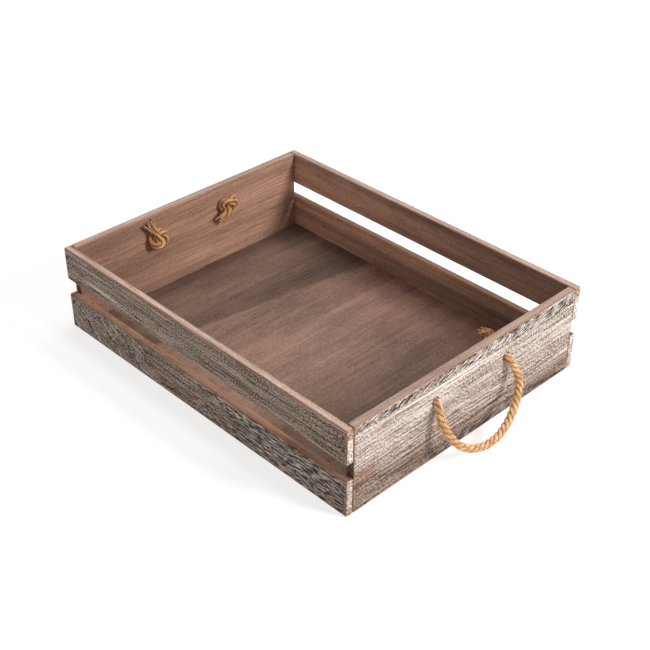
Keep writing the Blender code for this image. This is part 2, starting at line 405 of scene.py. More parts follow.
def steel_material():
    """Brad heads: dull dark steel, a little mottled."""
    tree = Tree("brad_steel")
    place = tree.node("TexCoord").outputs["Object"]
    speck = tree.noise(place, (2200, 2200, 2200), UNSHIFTED, 3.0, 0.6)
    color = tree.ramp(speck, ((0.35, (0.045, 0.036, 0.03)), (0.65, (0.16, 0.135, 0.115))))
    normal = tree.bump(speck, 0.00008)
    tree.look(color, tree.summed(0.35, (speck, 0.4)), Normal=normal, Metallic=0.85)
    return tree.material


# ---- boards
EDGE_LINES = (0.0, 0.00025, 0.00055, 0.0009, 0.0014, 0.0021)
HEAD_LINES = 0.00035 * np.arange(-5, 6)
CLOSEST_LINES = 0.00012
GATHER_SHARES = (0.3, 0.55, 0.75, 0.9, 1.0)  # from the gap in the grid in to a hole's rim
LIP_DEGREES = (22, 45, 68)
BORE_ROWS = 9


def grid_lines(low, high, step, fine_at=()):
    """Where a board's mesh lines lie: close together at both edges and about the brad heads."""
    near = [low + offset for offset in EDGE_LINES if offset < (high - low) / 2]
    near += [high - offset for offset in EDGE_LINES if offset < (high - low) / 2]
    for middle in fine_at:
        near += [middle + offset for offset in HEAD_LINES]
    near = sorted(value for value in near if low <= value <= high)
    lines = [near[0]]
    for value in near[1:]:
        gap = value - lines[-1]
        if gap < CLOSEST_LINES:
            continue
        count = max(1, round(gap / step))
        lines += [lines[-1] + gap * k / count for k in range(1, count + 1)]
    lines[-1] = high
    return np.array(lines)


def bore_rows(border, y, z, radius, flare, front, back):
    """Rows of points from the gap in the front's grid, over the hole's lip and through to the back."""
    angle = np.arctan2(border[:, 2] - z, border[:, 1] - y)
    round_way = columns(0 * angle, np.cos(angle), np.sin(angle))
    middle = np.array([0, y, z])
    edge = middle + round_way * (radius + flare)
    flats = [(border + (edge - border) * share, 0.0) for share in GATHER_SHARES]
    lips = []
    for swing in np.radians(LIP_DEGREES):
        reach = radius + flare * (1 - math.sin(swing))
        lips.append((middle + round_way * reach, flare * (1 - math.cos(swing))))
    rows = [(row, front - drop) for row, drop in flats + lips]
    for share in np.linspace(0, 1, BORE_ROWS):
        rows.append((middle + round_way * radius, front - flare + (back - front + 2 * flare) * share))
    rows += [(row, back + drop) for row, drop in (flats + lips)[::-1]]
    return [np.concatenate([np.full((len(row), 1), x), row[:, 1:]], axis=1) for row, x in rows]


def board_mesh(lines, holes=()):
    """A closed grid over a board's box. Holes run through along X: (y, z, radius, flare)."""
    sizes = [len(values) for values in lines]
    index = np.arange(np.prod(sizes)).reshape(sizes)
    points = np.stack(np.meshgrid(*lines, indexing="ij"), axis=-1).reshape(-1, 3)
    quads, rings = [], []
    for axis in range(3):
        for end in (0, 1):
            layer = np.take(index, sizes[axis] - 1 if end else 0, axis=axis)
            if axis == 1:
                layer = layer.T
            corners = [layer[:-1, :-1], layer[1:, :-1], layer[1:, 1:], layer[:-1, 1:]]
            corners = np.stack(corners if end else corners[::-1], axis=-1)
            keep = np.ones(corners.shape[:2], bool)
            for y, z, radius, _ in holes if axis == 0 else ():
                j, jj = np.searchsorted(lines[1], (y - 2 * radius, y + 2 * radius))
                k, kk = np.searchsorted(lines[2], (z - 2 * radius, z + 2 * radius))
                keep[j:jj, k:kk] = False
                sides = (layer[j:jj, k], layer[jj, k:kk], layer[jj:j:-1, kk], layer[j, kk:k:-1])
                rings.append(np.concatenate(sides))
            quads.append(corners[keep])
    for number, hole in enumerate(holes):
        back, front = rings[number], rings[number + len(holes)]
        made = bore_rows(points[front], *hole, lines[0][-1], lines[0][0])
        rows = [front, *(len(points) + np.arange(len(made) * len(front)).reshape(len(made), -1)), back]
        points = np.concatenate([points, *made])
        for first, second in zip(rows, rows[1:]):
            quads.append(columns(first, np.roll(first, -1), np.roll(second, -1), second))
    used, corners = np.unique(np.concatenate(quads), return_inverse=True)
    return points[used], corners.reshape(-1, 4)


def eased(points, low, high, radii):
    """The box's points moved onto its rounded edges, and the way out at each of them."""
    core = np.clip(points, low + radii, high - radii)
    away = (points - core) / radii
    length = np.linalg.norm(away, axis=1, keepdims=True)
    on_box = length[:, 0] > 0.999
    rounded = np.where(on_box[:, None], core + away / np.maximum(length, 1e-9) * radii, points)
    outward = away / radii
    outward = outward / np.maximum(np.linalg.norm(outward, axis=1, keepdims=True), 1e-9)
    return rounded, outward, on_box


def nails():
    """Each brad's and pin's head: the axis and the way that it faces, its middle and its radius."""
    found = []
    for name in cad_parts:
        if not name.startswith(("brad_", "pin_")):
            continue
        low, high = LOW[name], HIGH[name]
        axis = int(np.argmax(high - low))
        middle = (low + high) / 2
        sign = 1 if middle[axis] > 0 else -1
        middle[axis] = high[axis] if sign > 0 else low[axis]
        found.append((axis, sign, middle, (high - low)[(axis + 1) % 3] / 2))
    return found


NAILS = nails()


def growth_rings(along, across, deep, middle, lean, spacing, seed):
    """Growth rings counted from the tree's middle, which wanders a little along the board."""
    drift = columns(along, 0 * along, 0 * along)
    over = across - middle[0] - lean[0] * along - 0.01 * (noise(drift, 7, seed) - 0.5)
    down = deep - middle[1] - lean[1] * along - 0.01 * (noise(drift, 6, seed + 1) - 0.5)
    place = columns(along, across, deep)
    return (np.hypot(over, down) + 0.0022 * (noise(place, (14, 60, 60), seed + 2, 3) - 0.5)) / spacing


# Each finish gives how much whitewash, char and rubbed-off smear lies at each place on a board's
# outer face. Its places and sizes are in millimetres, and n is ragged noise from -0.5 to 0.5.
def front_finish(x, y, z, n, seed):
    """Pale and high on the left, darker low down, with slanted black strokes along the top."""
    low_edge = 89 - 2.5 * rise(-140, -60, y) - 4.5 * rise(-40, 110, y) + (1.2 + 2 * rise(-30, 40, y)) * n
    top = rise(low_edge - 1.5, low_edge + 2.0, z)
    line = blob(y, z - low_edge + 3.2, (-50, 0), (100, 1.1))
    line = line + 0.5 * blob(y, z - low_edge + 7.0, (-10, 0), (90, 0.8))
    paint = 0.29 + 0.12 * blob(y, z, (-115, 64), (55, 20)) + 0.17 * blob(y, z, (10, 70), (110, 13))
    paint += 0.8 * line - 0.19 * rise(52, 12, z + 0.1 * y) - 0.08 * rise(40, 150, y) * rise(50, 15, z)
    paint += 0.1 * blob(y, z, (115, 62), (50, 22))
    burn = 0.29 + 0.42 * rise(56, 12, z + 0.08 * y) - 0.15 * blob(y, z, (-110, 62), (60, 24)) - 0.5 * line
    burn += 0.42 * blob(y, z, (5, 5), (48, 4.5))
    burn += 0.62 * blob(y, z - 11 + 0.13 * (y - 75), (112, 0), (44, 2.6))
    paint = paint * (1 - top) + top * (0.29 + 0.19 * rise(-40, 60, y))
    burn = burn * (1 - top) + top * (0.8 + 0.1 * rise(-60, 40, y))
    bare = 0.85 * rise(0, 1, 1.2 - ((y + 162) / 18) ** 2 - ((z - 101) / 15) ** 2 + 0.5 * n)
    smear = blob(y, z - 0.2 * (y + 142), (-142, 36), (15, 4.0)) * (0.6 + 0.9 * n)
    smear += 0.6 * blob(y + 0.3 * z, z, (-88, 52), (2.4, 11))
    return paint * (1 - bare) - 0.3 * smear, burn * (1 - 0.4 * bare), np.clip(smear, 0, 1) * 0.85


def lower_left_finish(x, y, z, n, seed):
    """Dark, with bold pale and black strokes in front and a nested curved figure at the back."""
    strokes = blob(x, z + 0.055 * (x - 30), (95, 35), (75, 4.2)) + 0.5 * blob(x, z, (170, 24), (40, 8))
    across = (x + 1.9 * z + 0.02 * (z - 40) ** 2) / 38
    part = across - np.floor(across)
    edge, shoulder = (np.exp(-(((part - at) / 0.05) ** 2)) * rise(-70, -110, x) for at in (0.5, 0.62))
    paint = 0.32 + 0.1 * rise(-60, -200, x) + 0.2 * strokes + 0.14 * n - 0.4 * edge + 0.35 * shoulder
    burn = 0.65 + 0.4 * strokes + 0.17 * rise(-20, 110, x) + 0.12 * blob(x, z, (60, 12), (110, 10))
    return paint, burn + 0.14 * n + 0.9 * edge, 0 * x


def upper_left_finish(x, y, z, n, seed):
    """Brown and grey, palest near its lower edge towards the back."""
    pale = blob(x, z + 0.03 * (x + 145), (-145, 71), (34, 2.4)) + 0.35 * blob(x, z, (-70, 72), (70, 5))
    paint = 0.27 + 0.55 * pale + 0.1 * rise(-100, -180, x) + 0.1 * n
    burn = 0.5 - 0.14 * pale + 0.1 * n + 0.25 * blob(x, z, (-195, 90), (22, 10))
    return paint, burn + 0.15 * rise(150, 200, x), 0 * x


def plain_finish(x, y, z, n, seed):
    """Long soft patches of whitewash and char."""
    wide = columns(x + y, 0 * x, z)
    pale = noise(wide, (0.007, 0.001, 0.034), seed + 20, 2)
    dark = noise(wide, (0.006, 0.001, 0.06), seed + 21, 2)
    return 0.34 + 0.8 * (pale - 0.4) + 0.1 * n, 0.4 + 0.85 * (dark - 0.42) + 0.1 * n, 0 * x


# name: way out, the tree's middle against the board's outer face (height, depth), its lean along
# the board, ring spacing, noise seed, finish
BOARDS = {
    "end_board_front": ((1, 0, 0), (-0.030, -0.030), (0.035, 0.03), 0.0036, 11, front_finish),
    "end_board_back": ((-1, 0, 0), (0.045, -0.045), (0.03, 0.06), 0.0042, 23, plain_finish),
    "slat_lower_left": ((0, -1, 0), (0.030, -0.018), (0.10, 0.05), 0.0048, 37, lower_left_finish),
    "slat_upper_left": ((0, -1, 0), (0.060, -0.040), (0.03, 0.05), 0.0044, 41, upper_left_finish),
    "slat_lower_right": ((0, 1, 0), (0.000, -0.035), (0.05, 0.04), 0.0040, 53, plain_finish),
    "slat_upper_right": ((0, 1, 0), (0.090, -0.050), (0.04, 0.07), 0.0046, 67, plain_finish),
}
# by the axis that a board is thin along: its mesh steps and its easing, along x, y and z
STEPS = ((0.0009, 0.0021, 0.00075), (0.0016, 0.0009, 0.00075))
EASING = ((0.0010, 0.0008, 0.0012), (0.0016, 0.0009, 0.0012))
# how thick and white a board's whitewash is, duller on the left slats partly as painted shade, how its boldest
# strokes climb, and how pale its rim is
WHITE_AND_SHADE = {"end_board_front": 1.0, "slat_lower_left": 0.10, "slat_upper_left": 0.05}
LEAN = {"end_board_front": 0.38, "slat_lower_left": -0.03}
RIM_SHARE = {"end_board_front": 0.78, "end_board_back": 0.94, "slat_upper_left": 1.08}

OUTER_STAIN = (0.300, 0.205, 0.155)
# the left slats' outer faces are dark brown, made darker still as painted shade on the side away from the
# lights
DARK_STAIN_AND_SHADE = (0.200, 0.130, 0.092)  # the left slats' outer faces
INNER_STAIN = (0.360, 0.205, 0.146)  # the end boards' inner faces
SHADE_STAIN = (0.420, 0.262, 0.192)  # the slats' inner faces
RIM_STAIN = (0.50, 0.36, 0.30)
CUT_STAIN = (0.285, 0.163, 0.108)  # the sawn edges below the rim
ARRIS_STAIN = (0.34, 0.165, 0.090)
BUTT_STAIN = (0.36, 0.20, 0.13)
SMEAR_STAIN = (0.42, 0.20, 0.10)

ROPE_HOLE = (0.0044, 0.0008)  # its radius, and how far its rim is rounded over
GROOVE_DEPTH = 0.00016
CORNER_WEAR = 0.00045
WARP = 0.00012
HEAD_DEPTH = 0.00050  # the heads lie this deep in the wood


def board_stain(name, x, y, z, inner, up, down, seed):
    """The brown under everything, with long streaks, and painted shade and light on the inner faces."""
    slat = name.startswith("slat")
    stain = np.tile(DARK_STAIN_AND_SHADE if slat and "left" in name else OUTER_STAIN, (len(x), 1))
    rim = np.array(RIM_STAIN) * RIM_SHARE.get(name, 0.95)
    top = CUT_STAIN if name.startswith("slat_lower") else rim
    for share, color in ((inner, SHADE_STAIN if slat else INNER_STAIN), (down, CUT_STAIN), (up, top)):
        stain = toward(stain, share, color)
    wide = noise(columns(x if slat else y, z, 0 * z), (2.2, 95, 1), seed + 13, 3) - 0.5
    stain *= 1 + ((1.15 if slat else 0.4) * wide * inner)[:, None]
    # painted shade and light on the inner faces: the slats' lighter towards the back and darker on the lower
    # slats, the back board's darker on the left and at the top left and lighter towards the right corner
    shade = 0 * x
    if name == "end_board_back":
        shade = 0.38 * rise(-0.15, 0.1, y) - 0.22 - 0.14 * blob(y, z, (-0.12, 0.09), (0.06, 0.02))
    if slat:
        shade = 0.56 * rise(0.1, -0.15, x) - 0.02 - 0.2 * name.startswith("slat_lower")
    return stain * (1 + (shade * inner)[:, None])


def brushed_relief(place, ring, rough, corner, ragged, seed):
    """Grooves in the late wood, short streaks, worn corners and a little warp."""
    turn = ring - np.floor(ring)
    late = rise(0.6, 0.9, turn) * rise(1.0, 0.93, turn)
    groove = 0.55 * late + 0.9 * rise(0.52, 0.8, noise(place, (34, 520, 520), seed + 7, 2))
    relief = -GROOVE_DEPTH * groove * rough - CORNER_WEAR * corner * (0.4 + ragged)
    return relief + WARP * (noise(place, (9, 30, 30), seed + 9, 2) - 0.5)


def board(name, look):
    out, middle, lean, spacing, seed, finish = BOARDS[name]
    low, high = LOW[name], HIGH[name]
    out = np.array(out, float)
    thick_axis = int(np.argmax(np.abs(out)))
    slat, grain_axis = thick_axis == 1, 1 - thick_axis
    heads = []
    for axis, sign, place, wide in NAILS:
        inside = np.all(place > low - 0.002) and np.all(place < high + 0.002)
        if inside and axis == thick_axis and sign == out[axis]:
            heads.append((place, wide))
    fine = [sorted({round(place[k], 5) for place, _ in heads}) if k != thick_axis else () for k in range(3)]
    lines = [grid_lines(low[k], high[k], STEPS[thick_axis][k], fine[k]) for k in range(3)]
    holes = [] if slat else [(side * HOLE_SPACING / 2, HOLE_HEIGHT, *ROPE_HOLE) for side in (-1, 1)]
    points, quads = board_mesh(lines, holes)
    points, outward, on_box = eased(points, low, high, EASING[thick_axis])
    plank = name.replace("end_board", "plank_end").replace("slat", "plank")
    made = mesh_object(plank, points, [quads], look)
    normal = np.where(on_box[:, None], outward, normals_of(made))
    x, y, z = points.T
    along = points[:, grain_axis]
    deep = (points[:, thick_axis] - (high if out[thick_axis] > 0 else low)[thick_axis]) * out[thick_axis]
    slant = 0.5 * ((x + 0.08) - np.hypot(x + 0.08, 0.015)) * (name == "slat_lower_left")
    place = columns(along + 5 * slant, z + 0.6 * slant, deep) + seed * 0.137
    ring = growth_rings(along, z, deep, middle, lean, spacing, seed)
    ragged = noise(place, (60, 420, 420), seed + 5, 3) - 0.5
    # which way each point faces, and how near it is to an arris
    outer, inner = (rise(0.5, 0.9, normal @ way) for way in (out, -out))
    up, down = (rise(0.5, 0.9, way * normal[:, 2]) for way in (1, -1))
    butt = rise(0.5, 0.9, np.abs(normal[:, grain_axis])) * on_box
    from_edge = np.sort(np.minimum(points - low, high - points), axis=1)[:, 1]
    arris = rise(0.0019, 0.0008, from_edge - 0.0022 * ragged) * (1 - 0.7 * inner)
    # whitewash and char
    paint, burn, smear = finish(1000 * x, 1000 * y, 1000 * z, ragged, seed)
    facing = np.clip(outer + 0.9 * butt * slat, 0, 1)
    paint = np.clip(paint, 0, 1.3) * facing * (1 - 0.8 * arris)
    burn = np.clip(burn, 0, 1.2) * facing * (1 - 0.75 * arris) + down * 0.15
    if slat:
        end_paint = 0.5 + 0.28 * rise(0.056, 0.062, z) - 0.62 * rise(0.083, 0.089, z)
        end_paint = end_paint - 0.25 * rise(0.02, 0.006, z)
        paint = paint * (1 - butt) + butt * (end_paint + 0.5 * ragged)
        burn = burn * (1 - butt) + butt * 0.3
    else:
        # the end boards' sawn ends are charred, darker still in the gap between the slats: partly char, partly
        # painted shade in that gap
        burn = burn + butt * (0.7 + 0.45 * rise(0.04, 0.043, z) * rise(0.061, 0.058, z))
    stain = board_stain(name, x, y, z, inner, up, down, seed)
    for share, color in ((butt * 0.7, BUTT_STAIN), (smear, SMEAR_STAIN), (arris * 0.75, ARRIS_STAIN)):
        stain = toward(stain, share, color)
    # the surface itself, with a dip and a dark ring at each head
    rough = np.clip(0.15 + burn + 0.3 * paint, 0.15, 1.1)
    corner = rise(0.03, 0.3, 1 - np.max(np.abs(normal), axis=1)) * on_box
    relief = brushed_relief(place, ring, rough, corner, ragged, seed)
    for head, wide in heads:
        reach = np.delete(points - head, thick_axis, axis=1)
        away = np.hypot(reach[:, 0], reach[:, 1])
        dip = rise(wide + 0.00045, wide + 0.0001, away) * (outer > 0.5)
        relief = relief * (1 - dip) - HEAD_DEPTH * dip
        stained = rise(wide + 0.0011, wide + 0.0002, away) * (outer > 0.5)
        paint, burn = paint * (1 - stained), burn + 0.5 * stained
    move_points(made, points, normal, relief)
    bow = LEAN.get(name, 0.0) * along + 0.0035 * (noise(place, (24, 60, 60), seed + 3, 2) - 0.5)
    # painted shade in part: the left slats' whitewash shows greyer than the front's
    white = WHITE_AND_SHADE.get(name, 0.75) + 0.9 * rise(0.76, 1.12, burn) + 0.6 * rise(0.5, 0.85, paint)
    white = np.clip(white, 0, 1) * (1 - butt) + butt
    sweep = columns(along, z - bow, deep) + seed * 0.37
    fields = {"grain": place, "sweep": sweep, "ring": ring, "paint": paint, "white": white, "burn": burn}
    set_attributes(made, stain=opaque(stain), **fields)
    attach(made, "crate")
    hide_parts(name)


SHEET_STEPS = (0.0015, 0.0025, 0.0012)
SHEET_EASING = 0.0004
SHEET_WARP = 0.00015
SHEET_STAIN = (0.218, 0.132, 0.098)
GLUE_STAIN = (0.46, 0.36, 0.30)


def sheet(look):
    low, high = LOW["bottom_panel"], HIGH["bottom_panel"]
    points, quads = board_mesh([grid_lines(low[k], high[k], SHEET_STEPS[k]) for k in range(3)])
    points, normal, _ = eased(points, low, high, [SHEET_EASING] * 3)
    made = mesh_object("plank_bottom", points, [quads], look)
    x, y, z = points.T
    place = columns(y, x, z) + 3.3
    wavy = x + 0.006 * (noise(place, (12, 1, 1), 75) - 0.5)
    # bands of lighter and darker wood lie across the crate, with one pale seam behind the middle
    seam = wavy + 0.094 - 0.13 * y
    band = 0.7 + 0.4 * rise(-0.002, 0.004, seam) - 0.12 * blob(seam, 0 * y, (-0.018, 0), (0.014, 1))
    band += 0.34 * np.exp(-((seam / 0.0022) ** 2)) * rise(0.15, 0.05, y)
    # besides the bands, the floor is also darker along its back edge and towards the left wall, and lighter in
    # its middle
    band += 0.12 * blob(wavy + 0.151 - 0.22 * y, y, (0, 0), (0.01, 0.13)) - 0.12 * rise(-0.165, -0.19, wavy)
    band += 0.22 * blob(x, y, (-0.02, -0.04), (0.1, 0.09)) + 0.03 * rise(0.09, 0.13, y)
    band -= 0.16 * rise(-0.09, -0.15, y)
    band += 0.42 * (noise(columns(0.6 * y, wavy, 0 * x), (9, 55, 1), 76, 3) - 0.5)
    warp = SHEET_WARP * (noise(place, (7, 9, 9), 72, 2) - 0.5)
    move_points(made, points, normal, warp * (normal[:, 2] > 0.5))
    stain = band[:, None] * np.array(SHEET_STAIN)
    red = rise(0.05, 0.13, y) * rise(-0.12, -0.05, x)
    stain *= 1 - 0.1 * red[:, None] * np.array((0.0, 1.0, 1.0))
    edge = np.minimum(high[0] - np.abs(x), high[1] - np.abs(y))
    glue = rise(0.0018, 0.0005, edge) * rise(0.35, 0.6, noise(place, (40, 40, 40), 74, 2))
    stain = toward(stain, glue * 0.55, GLUE_STAIN)
    set_attributes(made, grain=place, stain=opaque(stain))
    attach(made, "crate")
    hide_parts("bottom_panel")


# ---- rope
STRANDS = 3
STRAND_SIDES = 42
STRAND_OUT = 0.535  # a strand's middle from the rope's, against the rope's radius
STRAND_WIDE = 0.50  # a strand's radius, against the rope's
LAY = 0.0198  # along the rope for one turn of a strand
YARNS = 7
YARN_LAY = 0.020
LAID = 0.0040  # the laid rope's radius to where its strands stand highest
HAIR_WIDTH = 0.00011
HAIR_REACH = 0.0030  # the furthest a loose fibre stands from where it leaves the rope
UP = (0.0, 0.0, 1.0)
PHASE = 0.4  # where a rope's first strand starts
SPACING = 0.0008  # between two rows of points along a rope


def lengths(line):
    """How far along a line each of its points lies."""
    return np.concatenate([[0], np.cumsum(np.linalg.norm(np.diff(line, axis=0), axis=1))])


def spaced(line, count):
    """The same line with that many points, evenly spaced."""
    along = lengths(line)
    want = np.linspace(0, along[-1], count)
    return columns(*(np.interp(want, along, line[:, k]) for k in range(3)))


def respaced(line, step):
    return spaced(line, max(2, round(lengths(line)[-1] / step)) + 1)


def smooth_route(points, step):
    """Points about a step apart on a smooth curve through the route's own points."""
    route = np.asarray(points, float)
    route = np.concatenate([[2 * route[0] - route[1]], route, [2 * route[-1] - route[-2]]])
    fine = []
    for a, b, c, d in zip(route, route[1:], route[2:], route[3:]):
        for t in np.arange(24) / 24:
            bend = 2 * b + (c - a) * t + (2 * a - 5 * b + 4 * c - d) * t**2
            fine.append((bend + (3 * b - a - 3 * c + d) * t**3) / 2)
    fine.append(route[-2])
    return respaced(np.array(fine), step)


def frames(line, first_side):
    """The way along a line at each point, and a side that turns with it as little as it can."""
    along = np.gradient(line, axis=0)
    along /= np.linalg.norm(along, axis=1, keepdims=True)
    side = np.zeros_like(line)
    current = np.asarray(first_side, float)
    for k, way in enumerate(along):
        current = current - way * np.dot(current, way)
        current = current / np.linalg.norm(current)
        side[k] = current
    return along, side, np.cross(along, side)


def tube(line, radius_at, sides, first_side, turn_at):
    """A closed tube. radius_at(angles, row) gives its radius; angles count from a turning start."""
    _, side, other = frames(line, first_side)
    angle = 2 * np.pi * np.arange(sides) / sides
    rows = []
    for k, middle in enumerate(line):
        radius = radius_at(angle, k)
        across, over = np.cos(angle + turn_at[k]) * radius, np.sin(angle + turn_at[k]) * radius
        rows.append(middle + across[:, None] * side[k] + over[:, None] * other[k])
    points = np.concatenate(rows + [line[:1], line[-1:]])
    count = len(line)
    grid = np.arange(count * sides).reshape(count, sides)
    following = np.roll(grid, -1, axis=1)
    quads = np.stack([grid[:-1], following[:-1], following[1:], grid[1:]], axis=-1).reshape(-1, 4)
    first, last = np.full(sides, count * sides), np.full(sides, count * sides + 1)
    caps = [columns(grid[0], first, following[0]), columns(grid[-1], following[-1], last)]
    return points, quads, np.concatenate(caps), np.tile(angle, count)


def fibre_places(line, angle, wide, shift):
    """Where a tube's points lie among its fibres: across, over and along."""
    along = np.repeat(lengths(line), len(angle) // len(line))
    around = [np.cos(angle) * wide, np.sin(angle) * wide]
    places = columns(*around, along) + shift
    return np.concatenate([places, places[:1], places[-1:]])


class Rope:
    """A rope's mesh while it is gathered: points, faces and what the material reads."""

    def __init__(self):
        self.points, self.faces, self.count = [], [], 0
        self.fields = {"fibre": [], "groove_shade": [], "shade": []}

    def add(self, points, quads, triangles, fibre, groove_shade, shade):
        self.points.append(points)
        self.faces += [quads + self.count, triangles + self.count]
        self.fields["fibre"].append(fibre)
        self.fields["groove_shade"].append(np.broadcast_to(groove_shade, len(points)))
        self.fields["shade"].append(np.broadcast_to(shade, len(points)))
        self.count += len(points)

    def strand(self, line, radius, first_side, middle, rope_radius, shade, seed):
        """One strand. Its yarns show as low ridges, laid against the twist of the strands."""

        def radius_at(angles, k):
            return radius[k] * (0.86 + 0.17 * np.abs(np.sin(YARNS * angles / 2)))

        turns = 2 * np.pi / YARN_LAY * lengths(line)
        points, quads, caps, angle = tube(line, radius_at, STRAND_SIDES, first_side, turns)
        fibre = fibre_places(line, angle, 0.5, (seed, 2 * seed, seed))
        rows = np.repeat(np.arange(len(line)), STRAND_SIDES)
        # painted shade: how far out each point stands, so that the grooves between strands and yarns get their
        # dark colour
        from_middle = np.linalg.norm(points[:-2] - middle[rows], axis=1)
        groove_shade = np.clip(from_middle / rope_radius[rows], 0, 1.1)
        ridge = np.abs(np.sin(YARNS * angle / 2))
        groove_shade = np.concatenate([groove_shade * (0.66 + 0.34 * ridge), [0.3, 0.3]])
        tones = np.random.default_rng(int(100 * seed) + 3).uniform(0.74, 1.16, YARNS + 1)
        yarn = tones[(YARNS * angle / (2 * np.pi) + 0.01).astype(int) % YARNS]
        self.add(points, quads, caps, fibre, groove_shade, shade * np.concatenate([yarn, [1, 1]]))

    def hair(self, start, way, out, length, rng, shade):
        """One loose fibre, thin and curved."""
        steps = np.linspace(0, 1, 5)
        bend = rng.normal(0, 0.35, 3)
        line = length * (steps[:, None] * way + (steps**2)[:, None] * 0.5 * (out + bend))
        line = start + line * min(1.0, HAIR_REACH / max(1e-9, np.linalg.norm(line, axis=1).max()))
        thin = HAIR_WIDTH * np.array([1.0, 0.9, 0.75, 0.5, 0.12])
        first_side = np.cross(way, out) + 1e-4
        points, quads, caps, _ = tube(line, lambda angles, k: np.full(3, thin[k]), 3, first_side, 0 * steps)
        fibre = points * np.array([30, 30, 1]) + rng.random()
        self.add(points, quads, caps, fibre, 1.0, shade)

    def lay(self, line, radius, lay=LAY, shade=1.0):
        """Three strands laid left-handed around a line. Radius is the rope's, at each point."""
        _, side, other = frames(line, UP)
        gone = lengths(line)
        for k in range(STRANDS):
            angle = PHASE + 2 * np.pi * k / STRANDS - 2 * np.pi * gone / lay
            away = STRAND_OUT * radius
            middle = line + (np.cos(angle) * away)[:, None] * side + (np.sin(angle) * away)[:, None] * other
            self.strand(middle, STRAND_WIDE * radius, side[0], line, radius, shade, 0.37 * k)

    def loose_fibres(self, line, radius, count, seed, longest=0.005):
        rng = np.random.default_rng(seed)
        along, side, other = frames(line, UP)
        for _ in range(count):
            at = rng.integers(1, len(line) - 1)
            angle = rng.random() * 2 * np.pi
            out = math.cos(angle) * side[at] + math.sin(angle) * other[at]
            start = line[at] + out * radius[at] * 0.93
            way = along[at] * rng.choice((-1, 1)) * 0.8 + out * rng.uniform(0.15, 0.7)
            self.hair(start, way, out * 0.4, rng.uniform(0.25, 1.0) * longest, rng, rng.uniform(0.9, 1.25))

    def fray(self, line, radius, start, seed):
        """The tail past its last tight turn: each strand's yarns come apart into a brush."""
        rng = np.random.default_rng(seed)
        along, side, other = frames(line, UP)
        gone = lengths(line)
        way_on = along[start]
        for k in range(STRANDS):
            angle = PHASE + 2 * np.pi * k / STRANDS - 2 * np.pi * gone / KNOT_LAY
            out = np.cos(angle)[:, None] * side + np.sin(angle)[:, None] * other
            spread = rng.uniform(0.08, 0.24)
            for yarn in range(BRUSH_YARNS):
                spin = 2 * np.pi * yarn / BRUSH_YARNS + rng.uniform(-0.3, 0.3)
                deep = 0.42 if yarn % 2 else 0.2
                ring = math.cos(spin) * out[start] + math.sin(spin) * np.cross(way_on, out[start])
                base = line[start - 6 : start + 1] + out[start - 6 : start + 1] * (0.5 * radius[start])
                base = base + ring * (deep * radius[start]) * np.linspace(0.5, 1, len(base))[:, None]
                length = rng.uniform(0.8, 1.12) * (gone[-1] - gone[start])
                steps = np.linspace(0, 1, 10)[1:, None]
                way = way_on + out[start] * spread + ring * rng.uniform(0.05, 0.22) + rng.normal(0, 0.05, 3)
                reach = base[-1] + length * (steps * way + steps**2 * rng.normal(0, 0.12, 3))
                reach += 0.00035 * np.sin(steps * 11 + rng.uniform(0, 6)) * ring
                path = respaced(smoothed(np.concatenate([base, reach]), 2), BRUSH_SPACING)
                thick = YARN_RADIUS * rng.uniform(0.8, 1.15)
                taper = thick * (1 - 0.35 * np.linspace(0, 1, len(path)) ** 3)

                def radius_at(angles, row):
                    return taper[row] * (0.86 + 0.2 * np.abs(np.sin(1.5 * angles)))

                turns = np.linspace(0, 5, len(path))
                points, quads, caps, turn = tube(path, radius_at, YARN_SIDES, ring, turns)
                fibre = fibre_places(path, turn, 0.4, (yarn, k, k))
                self.add(points, quads, caps, fibre, 0.92, KNOT_SHADE * rng.uniform(0.68, 1.12))
                for _ in range(4):
                    at = rng.integers(len(path) // 2, len(path) - 1)
                    loose, out_way = way_on * 0.6 + rng.normal(0, 0.4, 3), rng.normal(0, 0.4, 3)
                    self.hair(path[at], loose, out_way, rng.uniform(0.0015, 0.0035), rng, KNOT_SHADE)

    def build(self, name, look):
        made = mesh_object(name, np.concatenate(self.points), self.faces, look)
        set_attributes(made, **{key: np.concatenate(parts) for key, parts in self.fields.items()})
        return made


# How each stopper knot is tied: its turn about the hole, which way round it goes, where its tail
# ends and what it passes over on the way, as (away from the board, across, up) from the hole, how
# the ball settles, the rope's length from inside the hole, and the brush's length at its end.
TIES = {
    "front_left": (1.6, 1, (0.0200, 0.0120, -0.0150), None, (0.0, 0.0, -0.00002), 0.100, 0.0090),
    "front_right": (
        4.7, 1, (0.0235, 0.002, 0.0085), (0.0165, 0.0075, 0.0142), (0.0, 0.0, -0.00003), 0.107, 0.0072
    ),
    "back_left": (3.927, -1, (0.0080, -0.0120, 0.0212), None, (0.0, 0.00003, -0.00006), 0.0925, 0.0090),
    "back_right": (3.142, 1, (0.0060, -0.0140, -0.0090), None, (0.0, 0.00002, 0.00001), 0.088, 0.0085),
}
KNOT_SIZE = 1.07  # against the size that the knot is tied at
KNOT_ROPE = 0.0066  # the rope's thickness where the knot squeezes it
KNOT_RADIUS = 0.00345  # its strands stand a little higher than that
KNOT_LAY = 0.036  # the rope's turns open out where it is knotted
# painted shade and bounce light: the knots inside the crate are coloured darker and redder than the handles
KNOT_SHADE = 0.79
KNOT_POINTS = 100
STEM_POINTS = 6
TIE_STEPS = 360
TIE_ROUNDS = 14
BRUSH_YARNS = 12
BRUSH_SPACING = 0.0007
BRUSH_SEED = 5
YARN_RADIUS = 0.00098
YARN_SIDES = 9
HOLE_SQUEEZE = 0.11  # how much thinner the rope is where it fills its hole


def smoothed(line, rounds):
    line = line.copy()
    for _ in range(rounds):
        line[1:-1] += 0.5 * ((line[:-2] + line[2:]) / 2 - line[1:-1])
    return line


